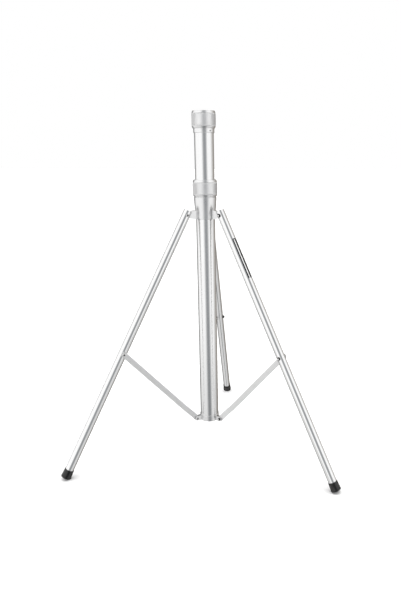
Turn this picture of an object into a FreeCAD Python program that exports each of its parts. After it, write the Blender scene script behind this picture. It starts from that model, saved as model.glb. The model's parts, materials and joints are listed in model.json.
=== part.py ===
"""Speaker tripod stand: a telescoping aluminium mast on a column that three folding legs hold up.

Frame: the origin is on the floor under the column's axis, +Z is up, and the rear leg points along +Y.
The three legs hinge on a hub that slides on the column, and a flat brace runs from each leg down to
a ring at the column's foot. Lengths are in millimetres and angles in degrees.
"""
import FreeCAD, Part
import math
import os

import Sketcher

Vector = FreeCAD.Vector
Rotation = FreeCAD.Rotation
Placement = FreeCAD.Placement

SIZES = {
    # column, and the mast that telescopes out of it
    "column_outer": 57.0,
    "column_wall": 2.0,
    "column_foot": 106.7,
    "column_head": 1028.0,
    "mast_outer": 50.0,
    "mast_wall": 2.0,
    "mast_foot": 160.0,
    "mast_head": 1056.0,
    "bush_height": 30.0,
    "plug_flange": 4.0,
    "plug_depth": 26.0,
    "plug_thread": 8.5,
    "cap_height": 8.0,
    "running_gap": 0.05,
    "thread_gap": 0.3,
    # ring and clamp nut at the head of the column
    "collar_foot": 1001.5,
    "collar_flange": 11.5,
    "collar_flange_outer": 61.0,
    "collar_neck_outer": 60.2,
    "collar_head": 1050.0,
    "top_nut_foot": 1013.2,
    "top_nut_height": 49.3,
    "top_nut_outer": 69.6,
    "nut_lip": 6.0,
    "nut_chamfer": 2.4,
    "nut_band": 7.0,
    "collet_slit": 3.0,
    # hub that slides on the column, and its clamp nut
    "hub_foot": 755.6,
    "hub_barrel_outer": 62.0,
    "hub_barrel_height": 22.0,
    "hub_cup_foot": 58.0,
    "hub_cup_head": 63.6,
    "hub_cup_outer": 67.0,
    "hub_neck_outer": 63.0,
    "hub_neck_head": 96.0,
    "hub_seat_foot": 60.0,
    "hub_bore": 58.6,
    "hub_nut_foot": 820.1,
    "hub_nut_height": 49.4,
    "hub_nut_outer": 72.6,
    "tongue_thick": 12.0,
    "tongue_height": 25.0,
    "tongue_nose": 17.6,
    # legs
    "leg_angle": 27.8,
    "leg_pivot_radius": 61.0,
    "leg_pivot_height": 768.5,
    "leg_outer": 25.0,
    "leg_wall": 1.5,
    "leg_above_pivot": 14.0,
    "leg_slot": 13.0,
    "leg_slot_depth": 26.0,
    "brace_pivot_along": 451.0,
    "foot_top_outer": 28.2,
    "foot_outer": 30.8,
    "foot_height": 27.0,
    "foot_sole": 5.0,
    "foot_edge": 2.0,
    "foot_flat": 0.8,
    # braces, and the ring at the column's foot
    "ring_foot": 103.7,
    "ring_height": 19.5,
    "ring_outer": 60.0,
    "ring_lip": 3.0,
    "lug_radius": 43.8,
    "lug_height": 111.7,
    "lug_nose": 14.0,
    "ear_thick": 3.4,
    "ear_gap": 3.8,
    "brace_thick": 3.0,
    "brace_width": 16.0,
    "brace_side": 15.5,
    "joggle_from": 24.0,
    "joggle_to": 66.0,
    # fasteners
    "hinge_bolt": 6.0,
    "hinge_head": 9.0,
    "lug_bolt": 5.0,
    "lug_bolt_head": 8.4,
    "head_height": 2.8,
    "nut_across": 10.0,
    "nut_thick": 5.0,
    "set_screw": 4.0,
    # blank label on one leg
    "label_from": 78.0,
    "label_length": 125.0,
    "label_thick": 0.3,
    "label_wrap": 60.0,
}

LEGS = {"rear": 90.0, "left": 210.0, "right": 330.0}
# one of the collar's three screws faces just right of the gap between the two front legs
SCREW_TURN = 316.0
# the label faces outwards, turned this far about the leg towards the front
LABEL_TURN = -15.0

doc = FreeCAD.newDocument("speaker_tripod_stand")
sheet = doc.addObject("Spreadsheet::Sheet", "Sizes")
for row, (alias, number) in enumerate(SIZES.items(), start=1):
    sheet.set("A%d" % row, alias)
    sheet.set("B%d" % row, str(number))
    sheet.setAlias("B%d" % row, alias)
doc.recompute()

pieces = []


class Size:
    """A length that keeps its number and its formula on the sheet together."""

    def __init__(self, number, formula):
        self.number = number
        self.formula = formula

    def join(self, sign, other, number):
        text = other.formula if isinstance(other, Size) else repr(float(other))
        return Size(number, "(%s %s %s)" % (self.formula, sign, text))

    def __add__(self, other):
        return self.join("+", other, self.number + plain(other))

    def __sub__(self, other):
        return self.join("-", other, self.number - plain(other))

    def __mul__(self, other):
        return self.join("*", other, self.number * plain(other))

    def __truediv__(self, other):
        return self.join("/", other, self.number / plain(other))

    def __neg__(self):
        return self * -1


def plain(length):
    """The bare number of a length."""
    return length.number if isinstance(length, Size) else float(length)


def size(alias):
    """A cell of the sheet as a length."""
    return Size(float(sheet.get(alias)), "Sizes." + alias)


def bind(feature, prop, length):
    """Drive one property of a feature from the sheet."""
    if isinstance(length, Size):
        feature.setExpression(prop, length.formula)
    else:
        setattr(feature, prop, length)


def keep(piece, label, placement=None):
    """Name a finished piece and put it in its place."""
    piece.Label = label
    if placement is not None:
        piece.Placement = placement.multiply(piece.Placement)
    pieces.append(piece)
    return piece


def new_body(label):
    return doc.addObject("PartDesign::Body", label + "_body")


def plane(body, role):
    return next(item for item in body.Origin.OriginFeatures if item.Role == role)


def sketch_on(body, role, name):
    sketch = body.newObject("Sketcher::SketchObject", body.Name + "_" + name)
    sketch.AttachmentSupport = (plane(body, role), [""])
    sketch.MapMode = "FlatFace"
    return sketch


def pin_point(sketch, line, end, point):
    """Fix one point of the sketch at a place that the sheet drives."""
    for kind, length in (("DistanceX", point[0]), ("DistanceY", point[1])):
        number = sketch.addConstraint(Sketcher.Constraint(kind, -1, 1, line, end, plain(length)))
        if isinstance(length, Size):
            sketch.setExpression("Constraints[%d]" % number, length.formula)


def draw_outline(sketch, points):
    """A closed outline of straight sides through the points."""
    count = len(points)
    corners = [Vector(plain(x), plain(y), 0) for x, y in points]
    for i in range(count):
        sketch.addGeometry(Part.LineSegment(corners[i], corners[(i + 1) % count]), False)
    for i in range(count):
        sketch.addConstraint(Sketcher.Constraint("Coincident", i, 2, (i + 1) % count, 1))
    for i in range(count):
        pin_point(sketch, i, 1, points[i])


def draw_circle(sketch, centre, radius):
    circle = Part.Circle(Vector(plain(centre[0]), plain(centre[1]), 0), Vector(0, 0, 1), plain(radius))
    line = sketch.addGeometry(circle, False)
    number = sketch.addConstraint(Sketcher.Constraint("Radius", line, plain(radius)))
    if isinstance(radius, Size):
        sketch.setExpression("Constraints[%d]" % number, radius.formula)
    pin_point(sketch, line, 3, centre)


def turn(body, points):
    """Revolve an outline of (radius, height) points about the body's own Z axis."""
    sketch = sketch_on(body, "XZ_Plane", "outline")
    draw_outline(sketch, points)
    feature = body.newObject("PartDesign::Revolution", body.Name + "_turned")
    feature.Profile = sketch
    feature.ReferenceAxis = (sketch, ["V_Axis"])
    feature.Angle = 360.0
    doc.recompute()
    return feature


def pad(body, sketch, length, name):
    """Raise a sketch to both sides of its plane."""
    feature = body.newObject("PartDesign::Pad", body.Name + "_" + name)
    feature.Profile = sketch
    feature.Midplane = True
    bind(feature, "Length", length)
    doc.recompute()
    return feature


def pocket(body, sketch, length, name):
    """Cut a sketch away to both sides of its plane."""
    before = body.Shape.Volume
    feature = body.newObject("PartDesign::Pocket", body.Name + "_" + name)
    feature.Profile = sketch
    feature.Midplane = True
    bind(feature, "Length", length)
    doc.recompute()
    if body.Shape.Volume >= before:
        raise RuntimeError(feature.Name + " cuts nothing")
    return feature


def around(body, features, count=3):
    """Repeat features evenly round the body's own Z axis."""
    pattern = body.newObject("PartDesign::PolarPattern", body.Name + "_around")
    pattern.Originals = features
    pattern.Axis = (plane(body, "Z_Axis"), [""])
    pattern.Angle = 360.0
    pattern.Occurrences = count
    body.Tip = pattern
    doc.recompute()
    return pattern


def turned_piece(label, points, placement=None):
    body = new_body(label)
    turn(body, points)
    return keep(body, label, placement)


def lift(height):
    """A place on the column's axis."""
    return Placement(Vector(0, 0, plain(height)), Rotation())


def rod(label, radius, start, end, direction="Z"):
    """A plain cylinder between two distances along one of its own axes."""
    cylinder = doc.addObject("Part::Cylinder", label)
    bind(cylinder, "Radius", radius)
    bind(cylinder, "Height", end - start)
    turn_to = {"Z": Rotation(), "X": Rotation(Vector(0, 1, 0), 90), "Y": Rotation(Vector(1, 0, 0), -90)}
    step = {"Z": Vector(0, 0, 1), "X": Vector(1, 0, 0), "Y": Vector(0, 1, 0)}[direction]
    cylinder.Placement = Placement(step * plain(start), turn_to[direction])
    return cylinder


def ring(label, inner, outer, start, end, direction="Z"):
    """A plain ring: one cylinder cut from another."""
    shell = doc.addObject("Part::Cut", label)
    shell.Base = rod(label + "_outside", outer, start, end, direction)
    shell.Tool = rod(label + "_hole", inner, start, end, direction)
    return shell


def box(label, corner, sides):
    block = doc.addObject("Part::Box", label)
    for prop, length in zip(("Length", "Width", "Height"), sides):
        bind(block, prop, length)
    block.Placement = Placement(Vector(*[plain(value) for value in corner]), Rotation())
    return block


def join(label, shapes):
    fused = doc.addObject("Part::MultiFuse", label)
    fused.Shapes = shapes
    return fused


def cut(label, base, tool):
    rest = doc.addObject("Part::Cut", label)
    rest.Base = base
    rest.Tool = tool
    return rest


def compound(label, shapes):
    """Identical separate solids in one node."""
    group = doc.addObject("Part::Compound", label)
    group.Links = shapes
    return group


# ---------------------------------------------------------------- shared lengths

zero = Size(0.0, "0.0")
gap = size("running_gap")
column_r = size("column_outer") / 2
column_bore_r = column_r - size("column_wall")
mast_r = size("mast_outer") / 2
mast_bore_r = mast_r - size("mast_wall")
hub_bore_r = size("hub_bore") / 2
leg_r = size("leg_outer") / 2
leg_bore_r = leg_r - size("leg_wall")
hinge_bolt_r = size("hinge_bolt") / 2
lug_bolt_r = size("lug_bolt") / 2

leg_angle = math.radians(plain(size("leg_angle")))
sole_r = plain(size("foot_outer")) / 2
edge_r = plain(size("foot_edge"))
# the rounded edge of the sole stands on the floor, less the flat that is worn on it
sole_height = (
    (sole_r - edge_r) * math.sin(leg_angle) + edge_r * (1 - math.cos(leg_angle)) - plain(size("foot_flat"))
)
leg_length = (plain(size("leg_pivot_height")) - sole_height) / math.cos(leg_angle)

# brace: from the lug pin at the column's foot to the pivot on the leg
brace_along = plain(size("brace_pivot_along"))
brace_run = plain(size("leg_pivot_radius") - size("lug_radius")) + brace_along * math.sin(leg_angle)
brace_rise = plain(size("leg_pivot_height") - size("lug_height")) - brace_along * math.cos(leg_angle)
brace_length = math.hypot(brace_run, brace_rise)
brace_angle = math.atan2(brace_run, brace_rise)


def leg_place(azimuth):
    """The leg's own frame: its pivot at the origin, the leg along -Z, the column on its -X side."""
    height = plain(size("leg_pivot_height"))
    radius = plain(size("leg_pivot_radius"))
    spin = Rotation(Vector(0, 0, 1), azimuth)
    lean = Rotation(Vector(0, 1, 0), -math.degrees(leg_angle))
    return Placement(spin.multVec(Vector(radius, 0, height)), spin.multiply(lean))


def brace_place(azimuth):
    """The brace's own frame: its lug pin at the origin, and the brace up along +Z."""
    spin = Rotation(Vector(0, 0, 1), azimuth)
    lean = Rotation(Vector(0, 1, 0), math.degrees(brace_angle))
    radius = plain(size("lug_radius"))
    height = plain(size("lug_height"))
    return Placement(spin.multVec(Vector(radius, 0, height)), spin.multiply(lean))


# ---------------------------------------------------------------- column

column_length = size("column_head") - size("column_foot")
turned_piece(
    "column_tube",
    [(column_bore_r, zero), (column_r, zero), (column_r, column_length), (column_bore_r, column_length)],
    lift(size("column_foot")),
)

plug_r = column_bore_r - 2.0
plug_height = size("ring_lip") + 6.0
turned_piece(
    "column_base_plug",
    [
        (zero, size("ring_lip") / 2),
        (plug_r, size("ring_lip") / 2),
        (plug_r, size("ring_lip")),
        (column_bore_r, size("ring_lip")),
        (column_bore_r, plug_height),
        (zero, plug_height),
    ],
    lift(size("ring_foot")),
)


def bottom_ring():
    """A cast ring round the column's foot, with three forked lugs for the braces."""
    body = new_body("bottom_ring")
    ring_r = size("ring_outer") / 2
    height = size("ring_height")
    turn(
        body,
        [
            (plug_r, zero),
            (ring_r - 1.0, zero),
            (ring_r, zero + 1.0),
            (ring_r, height - 1.0),
            (ring_r - 1.0, height),
            (column_r, height),
            (column_r, size("ring_lip")),
            (plug_r, size("ring_lip")),
        ],
    )
    pivot = (size("lug_radius"), size("lug_height") - size("ring_foot"))
    nose = size("lug_nose") / 2
    root = column_r + 0.8
    outline = sketch_on(body, "XZ_Plane", "lug_outline")
    draw_outline(
        outline,
        [
            (root, pivot[1] - nose),
            (pivot[0], pivot[1] - nose),
            (pivot[0], pivot[1] + nose),
            (root, pivot[1] + nose + 2.0),
        ],
    )
    fork = size("ear_thick") * 2 + size("ear_gap")
    lug = pad(body, outline, fork, "lug")
    round_end = sketch_on(body, "XZ_Plane", "nose_outline")
    draw_circle(round_end, pivot, nose)
    nose_pad = pad(body, round_end, fork, "nose")
    slot = sketch_on(body, "XZ_Plane", "slot_outline")
    slot_root = ring_r + 1.2
    draw_outline(
        slot,
        [
            (slot_root, zero - 2.0),
            (pivot[0] + size("lug_nose"), zero - 2.0),
            (pivot[0] + size("lug_nose"), height + 4.0),
            (slot_root, height + 4.0),
        ],
    )
    slot_cut = pocket(body, slot, size("ear_gap"), "slot")
    hole = sketch_on(body, "XZ_Plane", "hole_outline")
    draw_circle(hole, pivot, lug_bolt_r)
    hole_cut = pocket(body, hole, fork + 4.0, "hole")
    around(body, [lug, nose_pad, slot_cut, hole_cut])
    # the first lug is drawn along +X and turned to the rear leg
    place = lift(size("ring_foot"))
    place.Rotation = Rotation(Vector(0, 0, 1), LEGS["rear"])
    keep(body, "bottom_ring", place)


bottom_ring()


def round_head(label, radius, height, start, side):
    """A low domed screw head whose flat face is at start, domed away along side * Y."""
    crown = radius * 0.35
    body = new_body(label)
    turn(
        body,
        [
            (zero, zero),
            (radius, zero),
            (radius, height - crown),
            (radius - crown, height),
            (zero, height),
        ],
    )
    turn_to = Rotation(Vector(1, 0, 0), -90.0 * side)
    body.Placement = Placement(Vector(0, plain(start) * side, 0), turn_to)
    return body


def hex_nut(label, across, thick, start, side):
    """A hexagon nut whose inner face is at start, on the side * Y side."""
    nut = doc.addObject("Part::Prism", label)
    nut.Polygon = 6
    bind(nut, "Circumradius", across / math.sqrt(3))
    bind(nut, "Height", thick)
    nut.Placement = Placement(Vector(0, plain(start) * side, 0), Rotation(Vector(1, 0, 0), -90.0 * side))
    return nut


fork_half = size("ear_thick") + size("ear_gap") / 2


def lug_bolts():
    """The three pins that the braces turn on, and their nuts."""
    bolts = []
    nuts = []
    for name, azimuth in LEGS.items():
        spin = Rotation(Vector(0, 0, 1), azimuth)
        spot = spin.multVec(Vector(plain(size("lug_radius")), 0, plain(size("lug_height"))))
        place = Placement(spot, spin)
        shank = rod("lug_shank_" + name, lug_bolt_r, -fork_half - size("nut_thick"), fork_half, "Y")
        head = round_head("lug_head_" + name, size("lug_bolt_head") / 2, size("head_height"), fork_half, 1)
        bolt = join("lug_bolt_" + name, [shank, head])
        bolt.Placement = place
        bolts.append(bolt)
        nut = cut(
            "lug_nut_" + name,
            hex_nut("lug_hexagon_" + name, size("nut_across") - 2.0, size("nut_thick") - 1.0, fork_half, -1),
            rod("lug_nut_hole_" + name, lug_bolt_r, -fork_half - size("nut_thick"), -fork_half, "Y"),
        )
        nut.Placement = place
        nuts.append(nut)
    keep(compound("lug_bolts", bolts), "lower_pivot_bolts")
    keep(compound("lug_nuts", nuts), "lower_pivot_nuts")


lug_bolts()


def top_collar():
    """The ring and threaded neck fixed on the column's head, with a cone inside for the collet."""
    body = new_body("top_collar")
    foot = size("collar_foot")
    flange = size("collar_flange")
    flange_r = size("collar_flange_outer") / 2
    neck_r = size("collar_neck_outer") / 2
    head = size("collar_head") - foot
    ledge = size("column_head") - foot
    turn(
        body,
        [
            (column_r, zero),
            (flange_r - 0.8, zero),
            (flange_r, zero + 0.8),
            (flange_r, flange),
            (neck_r, flange),
            (neck_r, head),
            (neck_r - 1.2, head),
            (column_r - 0.4, ledge + 1.0),
            (column_r - 0.4, ledge),
            (column_r, ledge),
        ],
    )
    hole = sketch_on(body, "YZ_Plane", "screw_outline")
    draw_circle(hole, (zero, flange / 2), size("set_screw") / 2)
    before = body.Shape.Volume
    bore = body.newObject("PartDesign::Pocket", "top_collar_screw_hole")
    bore.Profile = hole
    bind(bore, "Length", flange_r + 5.0)
    bore.Reversed = True
    doc.recompute()
    if body.Shape.Volume >= before:
        raise RuntimeError("the screw hole cuts nothing")
    around(body, [bore])
    place = lift(foot)
    place.Rotation = Rotation(Vector(0, 0, 1), SCREW_TURN)
    keep(body, "top_collar", place)


top_collar()


def radial_screws(label, start, end, radius, height, turn_by):
    """Three headless screws that point at the column's axis."""
    screws = []
    for number in range(3):
        shank = rod("%s_shank_%d" % (label, number), radius, start, end - 0.5, "X")
        socket = rod("%s_socket_%d" % (label, number), radius * 0.55, end - 1.6, end, "X")
        screw = cut("%s_%d" % (label, number), shank, socket)
        spin = Rotation(Vector(0, 0, 1), turn_by + 120.0 * number)
        screw.Placement = Placement(Vector(0, 0, plain(height)), spin)
        screws.append(screw)
    keep(compound(label + "_set", screws), label)


radial_screws(
    "top_collar_screws",
    column_r,
    size("collar_flange_outer") / 2,
    size("set_screw") / 2,
    size("collar_foot") + size("collar_flange") / 2,
    SCREW_TURN,
)


def collet(label, inner, foot_r, head_r, cone, height, foot_height):
    """A split nylon cone with a short collar, which the nut squeezes on the tube."""
    body = new_body(label)
    turn(body, [(inner, zero), (foot_r, zero), (head_r, cone), (head_r, height), (inner, height)])
    slit = sketch_on(body, "XY_Plane", "slit_outline")
    half = size("collet_slit") / 2
    draw_outline(slit, [(zero, -half), (head_r + 4.0, -half), (head_r + 4.0, half), (zero, half)])
    pocket(body, slit, height * 2 + 4.0, "slit")
    keep(body, label, lift(foot_height))


collet(
    "top_collet",
    mast_r + gap,
    column_r - 0.6,
    size("collar_neck_outer") / 2 - 1.3,
    size("collar_head") - size("column_head") - 0.6,
    size("top_nut_foot") + size("top_nut_height") - size("nut_lip") - size("column_head") - 0.9,
    size("column_head") + 0.6,
)


def clamp_nut(label, outer, height, bore, mouth, foot_height):
    """A hand nut: a shell over the thread, closed at its head by a lip round the tube."""
    radius = outer / 2
    chamfer = size("nut_chamfer")
    band = size("nut_band")
    shoulder = height - size("nut_lip")
    turned_piece(
        label,
        [
            (bore, zero),
            (radius - chamfer, zero),
            (radius, band),
            (radius, height - band),
            (radius - chamfer, height),
            (mouth + 0.6, height),
            (mouth, height - 0.6),
            (mouth, shoulder),
            (bore, shoulder),
        ],
        lift(foot_height),
    )


clamp_nut(
    "top_lock_nut",
    size("top_nut_outer"),
    size("top_nut_height"),
    size("collar_neck_outer") / 2 + size("thread_gap"),
    mast_r + 0.4,
    size("top_nut_foot"),
)

# ---------------------------------------------------------------- mast

mast_length = size("mast_head") - size("mast_foot")
turned_piece(
    "mast_tube",
    [(mast_bore_r, zero), (mast_r, zero), (mast_r, mast_length), (mast_bore_r, mast_length)],
    lift(size("mast_foot")),
)
bush_r = column_bore_r - gap
turned_piece(
    "mast_guide_bush",
    [
        (mast_r, zero),
        (bush_r - 0.5, zero),
        (bush_r, zero + 0.5),
        (bush_r, size("bush_height") - 0.5),
        (bush_r - 0.5, size("bush_height")),
        (mast_r, size("bush_height")),
    ],
    lift(size("mast_foot")),
)
cap_stem = size("cap_height") * 2
turned_piece(
    "mast_end_cap",
    [
        (zero, zero),
        (mast_r - 1.5, zero),
        (mast_r, zero + 1.5),
        (mast_r, size("cap_height")),
        (mast_bore_r, size("cap_height")),
        (mast_bore_r, cap_stem),
        (zero, cap_stem),
    ],
    lift(size("mast_foot") - size("cap_height")),
)


def mast_top_plug():
    """The turned plug that closes the mast, with the thread that a speaker or a spigot screws into."""
    body = new_body("mast_top_plug")
    flange = size("plug_flange")
    turn(
        body,
        [
            (zero, -size("plug_depth")),
            (mast_bore_r - 0.6, -size("plug_depth")),
            (mast_bore_r, zero - size("plug_depth") + 0.6),
            (mast_bore_r, zero),
            (mast_r, zero),
            (mast_r, flange - 1.0),
            (mast_r - 1.0, flange),
            (zero, flange),
        ],
    )
    sketch = sketch_on(body, "XY_Plane", "thread_outline")
    draw_circle(sketch, (zero, zero), size("plug_thread") / 2)
    pocket(body, sketch, size("plug_depth") * 2 + 4.0, "thread")
    keep(body, "mast_top_plug", lift(size("mast_head")))


mast_top_plug()

# ---------------------------------------------------------------- hub


def hub_body():
    """The cast hub: a barrel with three tongues for the legs, a cup above it, and a threaded neck."""
    body = new_body("hub_body")
    barrel_r = size("hub_barrel_outer") / 2
    cup_r = size("hub_cup_outer") / 2
    neck_r = size("hub_neck_outer") / 2
    seat = size("hub_seat_foot")
    neck_head = size("hub_neck_head")
    turn(
        body,
        [
            (hub_bore_r, zero),
            (barrel_r - 1.0, zero),
            (barrel_r, zero + 1.0),
            (barrel_r, size("hub_barrel_height")),
            (cup_r, size("hub_cup_foot")),
            (cup_r, size("hub_cup_head") - 1.0),
            (cup_r - 1.0, size("hub_cup_head")),
            (neck_r, size("hub_cup_head")),
            (neck_r, neck_head),
            (neck_r - 1.0, neck_head),
            (hub_bore_r, seat),
        ],
    )
    pivot = (size("leg_pivot_radius"), size("leg_pivot_height") - size("hub_foot"))
    nose = size("tongue_nose") / 2
    root = hub_bore_r + 1.0
    outline = sketch_on(body, "XZ_Plane", "tongue_outline")
    draw_outline(
        outline,
        [
            (root, zero + 0.4),
            (barrel_r + 6.0, zero + 0.4),
            (pivot[0], pivot[1] - nose),
            (pivot[0], pivot[1] + nose),
            (barrel_r + 6.0, size("tongue_height")),
            (root, size("tongue_height")),
        ],
    )
    tongue = pad(body, outline, size("tongue_thick"), "tongue")
    round_end = sketch_on(body, "XZ_Plane", "nose_outline")
    draw_circle(round_end, pivot, nose)
    nose_pad = pad(body, round_end, size("tongue_thick"), "nose")
    hole = sketch_on(body, "XZ_Plane", "hole_outline")
    draw_circle(hole, pivot, hinge_bolt_r + gap)
    hole_cut = pocket(body, hole, size("tongue_thick") * 3, "hole")
    around(body, [tongue, nose_pad, hole_cut])
    place = lift(size("hub_foot"))
    place.Rotation = Rotation(Vector(0, 0, 1), LEGS["rear"])
    keep(body, "hub_body", place)


hub_body()

liner_r = column_r + gap
hub_seat = size("hub_foot") + size("hub_seat_foot")
turned_piece(
    "hub_liner",
    [
        (liner_r, zero + 1.0),
        (hub_bore_r, zero + 1.0),
        (hub_bore_r, size("hub_seat_foot") - 2.0),
        (liner_r, size("hub_seat_foot") - 2.0),
    ],
    lift(size("hub_foot")),
)
collet(
    "hub_collet",
    liner_r,
    hub_bore_r - 0.1,
    size("hub_neck_outer") / 2 - 1.3,
    size("hub_neck_head") - size("hub_seat_foot") - 0.6,
    size("hub_nut_foot") + size("hub_nut_height") - size("nut_lip") - hub_seat - 0.9,
    hub_seat + 0.6,
)
clamp_nut(
    "hub_lock_nut",
    size("hub_nut_outer"),
    size("hub_nut_height"),
    size("hub_neck_outer") / 2 + size("thread_gap"),
    column_r + 0.4,
    size("hub_nut_foot"),
)

# ---------------------------------------------------------------- legs


def leg_tube(name, azimuth):
    """A round tube, slotted at its head for the hub's tongue and cross-drilled for two bolts."""
    body = new_body("leg_tube_" + name)
    above = size("leg_above_pivot")
    below = Size(leg_length, repr(leg_length)) - size("foot_sole")
    turn(body, [(leg_bore_r, -below), (leg_r, -below), (leg_r, above), (leg_bore_r, above)])
    # the slot is open on the column's side and at the leg's head
    slot = sketch_on(body, "XZ_Plane", "slot_outline")
    reach = leg_r + 4.0
    draw_outline(
        slot,
        [
            (-reach, -size("leg_slot_depth")),
            (zero - 3.0, zero - 6.0),
            (zero - 3.0, above + 4.0),
            (-reach, above + 4.0),
        ],
    )
    pocket(body, slot, size("leg_slot"), "slot")
    for number, height in enumerate((zero, -size("brace_pivot_along"))):
        hole = sketch_on(body, "XZ_Plane", "hole_outline_%d" % number)
        draw_circle(hole, (zero, height), hinge_bolt_r)
        pocket(body, hole, size("leg_outer") * 2, "hole_%d" % number)
    keep(body, "leg_tube_" + name, leg_place(azimuth))


def foot(name, azimuth):
    """A moulded rubber tip over the leg's end, with a small flat where it stands on the floor."""
    label = "foot_" + name
    body = new_body(label + "_moulding")
    height = size("foot_height")
    sole = size("foot_outer") / 2
    edge = size("foot_edge")
    turn(
        body,
        [
            (zero, zero),
            (sole - edge, zero),
            (sole - edge * 0.4, edge * 0.15),
            (sole - edge * 0.15, edge * 0.4),
            (sole, edge),
            (size("foot_top_outer") / 2, height - 1.0),
            (size("foot_top_outer") / 2 - 1.0, height),
            (leg_r, height),
            (leg_r, size("foot_sole")),
            (zero, size("foot_sole")),
        ],
    )
    # the floor as a block below the tip, in the leg's own frame
    floor = box(label + "_floor", (-40.0, -40.0, -40.0), (80.0, 80.0, 40.0))
    floor.Placement = floor_under_foot()
    shaped = cut(label + "_cut", body, floor)
    place = leg_place(azimuth)
    down = place.Rotation.multVec(Vector(0, 0, -leg_length))
    keep(shaped, label, Placement(place.Base + down, place.Rotation))


def floor_under_foot():
    """Where the floor's block lies in the frame of the foot's sole centre."""
    upright = Rotation(Vector(0, 1, 0), math.degrees(leg_angle))
    return Placement(upright.multVec(Vector(-40.0, -40.0, -40.0 - sole_height)), upright)


def hinge_hardware(name, azimuth):
    """The bolt, nut and spacers of a leg's hinge on the hub."""
    place = leg_place(azimuth)
    shank = rod("hinge_shank_" + name, hinge_bolt_r, -leg_r - size("nut_thick"), leg_r, "Y")
    head = round_head("hinge_head_" + name, size("hinge_head") / 2, size("head_height"), leg_r, 1)
    keep(join("hinge_bolt_" + name, [shank, head]), "leg_hinge_bolt_" + name, place)
    nut = cut(
        "hinge_nut_" + name,
        hex_nut("hinge_hexagon_" + name, size("nut_across"), size("nut_thick") - 1.0, leg_r, -1),
        rod("hinge_nut_hole_" + name, hinge_bolt_r, -leg_r - size("nut_thick"), -leg_r, "Y"),
    )
    keep(nut, "leg_hinge_nut_" + name, place)
    near = size("tongue_thick") / 2 + 0.15
    far = leg_bore_r - 1.4
    sides = (
        ring("hinge_spacer_a_" + name, hinge_bolt_r, hinge_bolt_r + 1.8, near, far, "Y"),
        ring("hinge_spacer_b_" + name, hinge_bolt_r, hinge_bolt_r + 1.8, -far, -near, "Y"),
    )
    keep(compound("hinge_spacers_" + name, list(sides)), "leg_hinge_spacers_" + name, place)


# ---------------------------------------------------------------- braces

washer_face = leg_r + 0.3
brace_face = size("brace_side") - size("brace_thick") / 2
brace_back = size("brace_side") + size("brace_thick") / 2


def brace_pivot_hardware(name, azimuth):
    """The half of the brace's upper pivot that stays with the leg: a cross pin and its nut."""
    place = leg_place(azimuth)
    down = place.Rotation.multVec(Vector(0, 0, -brace_along))
    spot = Placement(place.Base + down, place.Rotation)
    pin = rod("cross_pin_" + name, hinge_bolt_r, -leg_r - size("nut_thick"), leg_r - 0.2, "Y")
    keep(pin, "leg_brace_pin_" + name, spot)
    nut = cut(
        "cross_nut_" + name,
        hex_nut("cross_hexagon_" + name, size("nut_across"), size("nut_thick") - 1.0, leg_r, -1),
        rod("cross_nut_hole_" + name, hinge_bolt_r, -leg_r - size("nut_thick"), -leg_r, "Y"),
    )
    keep(nut, "leg_brace_nut_" + name, spot)


def brace(name, azimuth):
    """A flat bar: its foot runs in the fork, and a joggle carries it out beside the leg."""
    body = new_body("brace_strip_" + name)
    half = size("brace_thick") / 2
    side = size("brace_side")
    low = size("joggle_from")
    high = size("joggle_to")
    length = Size(brace_length, repr(brace_length))
    strip = sketch_on(body, "YZ_Plane", "strip_outline")
    draw_outline(
        strip,
        [
            (-half, zero),
            (half, zero),
            (half, low),
            (side + half, high),
            (side + half, length),
            (side - half, length),
            (side - half, high),
            (-half, low),
        ],
    )
    pad(body, strip, size("brace_width"), "strip")
    # rounded ends, each about its own pivot hole
    parts = [body]
    holes = []
    ends = {"foot": (zero, zero, lug_bolt_r + gap), "head": (length, side, hinge_bolt_r)}
    for end, (height, across, hole_r) in ends.items():
        disc = rod("brace_%s_%s" % (end, name), size("brace_width") / 2, across - half, across + half, "Y")
        hole = rod("brace_%s_hole_%s" % (end, name), hole_r, across - side, across + side, "Y")
        for shape in (disc, hole):
            shape.Placement = Placement(shape.Placement.Base + lift(height).Base, shape.Placement.Rotation)
        parts.append(disc)
        holes.append(hole)
    bar = cut("brace_bar_" + name, join("brace_blank_" + name, parts), join("brace_holes_" + name, holes))
    keep(bar, "brace_" + name, brace_place(azimuth))


def brace_hardware(name, azimuth):
    """The half of the upper pivot that stays with the brace: a headed bolt stub and a washer."""
    place = brace_place(azimuth)
    up = place.Rotation.multVec(Vector(0, 0, brace_length))
    spot = Placement(place.Base + up, place.Rotation)
    stub = rod("stub_" + name, hinge_bolt_r, washer_face, brace_back, "Y")
    head = round_head("stub_head_" + name, size("hinge_head") / 2, size("head_height"), brace_back, 1)
    keep(join("brace_bolt_" + name, [stub, head]), "brace_bolt_" + name, spot)
    washer = ring("washer_" + name, hinge_bolt_r, size("hinge_bolt") * 1.1, washer_face, brace_face, "Y")
    keep(washer, "brace_washer_" + name, spot)


for leg_name, leg_azimuth in LEGS.items():
    leg_tube(leg_name, leg_azimuth)
    foot(leg_name, leg_azimuth)
    hinge_hardware(leg_name, leg_azimuth)
    brace_pivot_hardware(leg_name, leg_azimuth)
    brace(leg_name, leg_azimuth)
    brace_hardware(leg_name, leg_azimuth)


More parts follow.
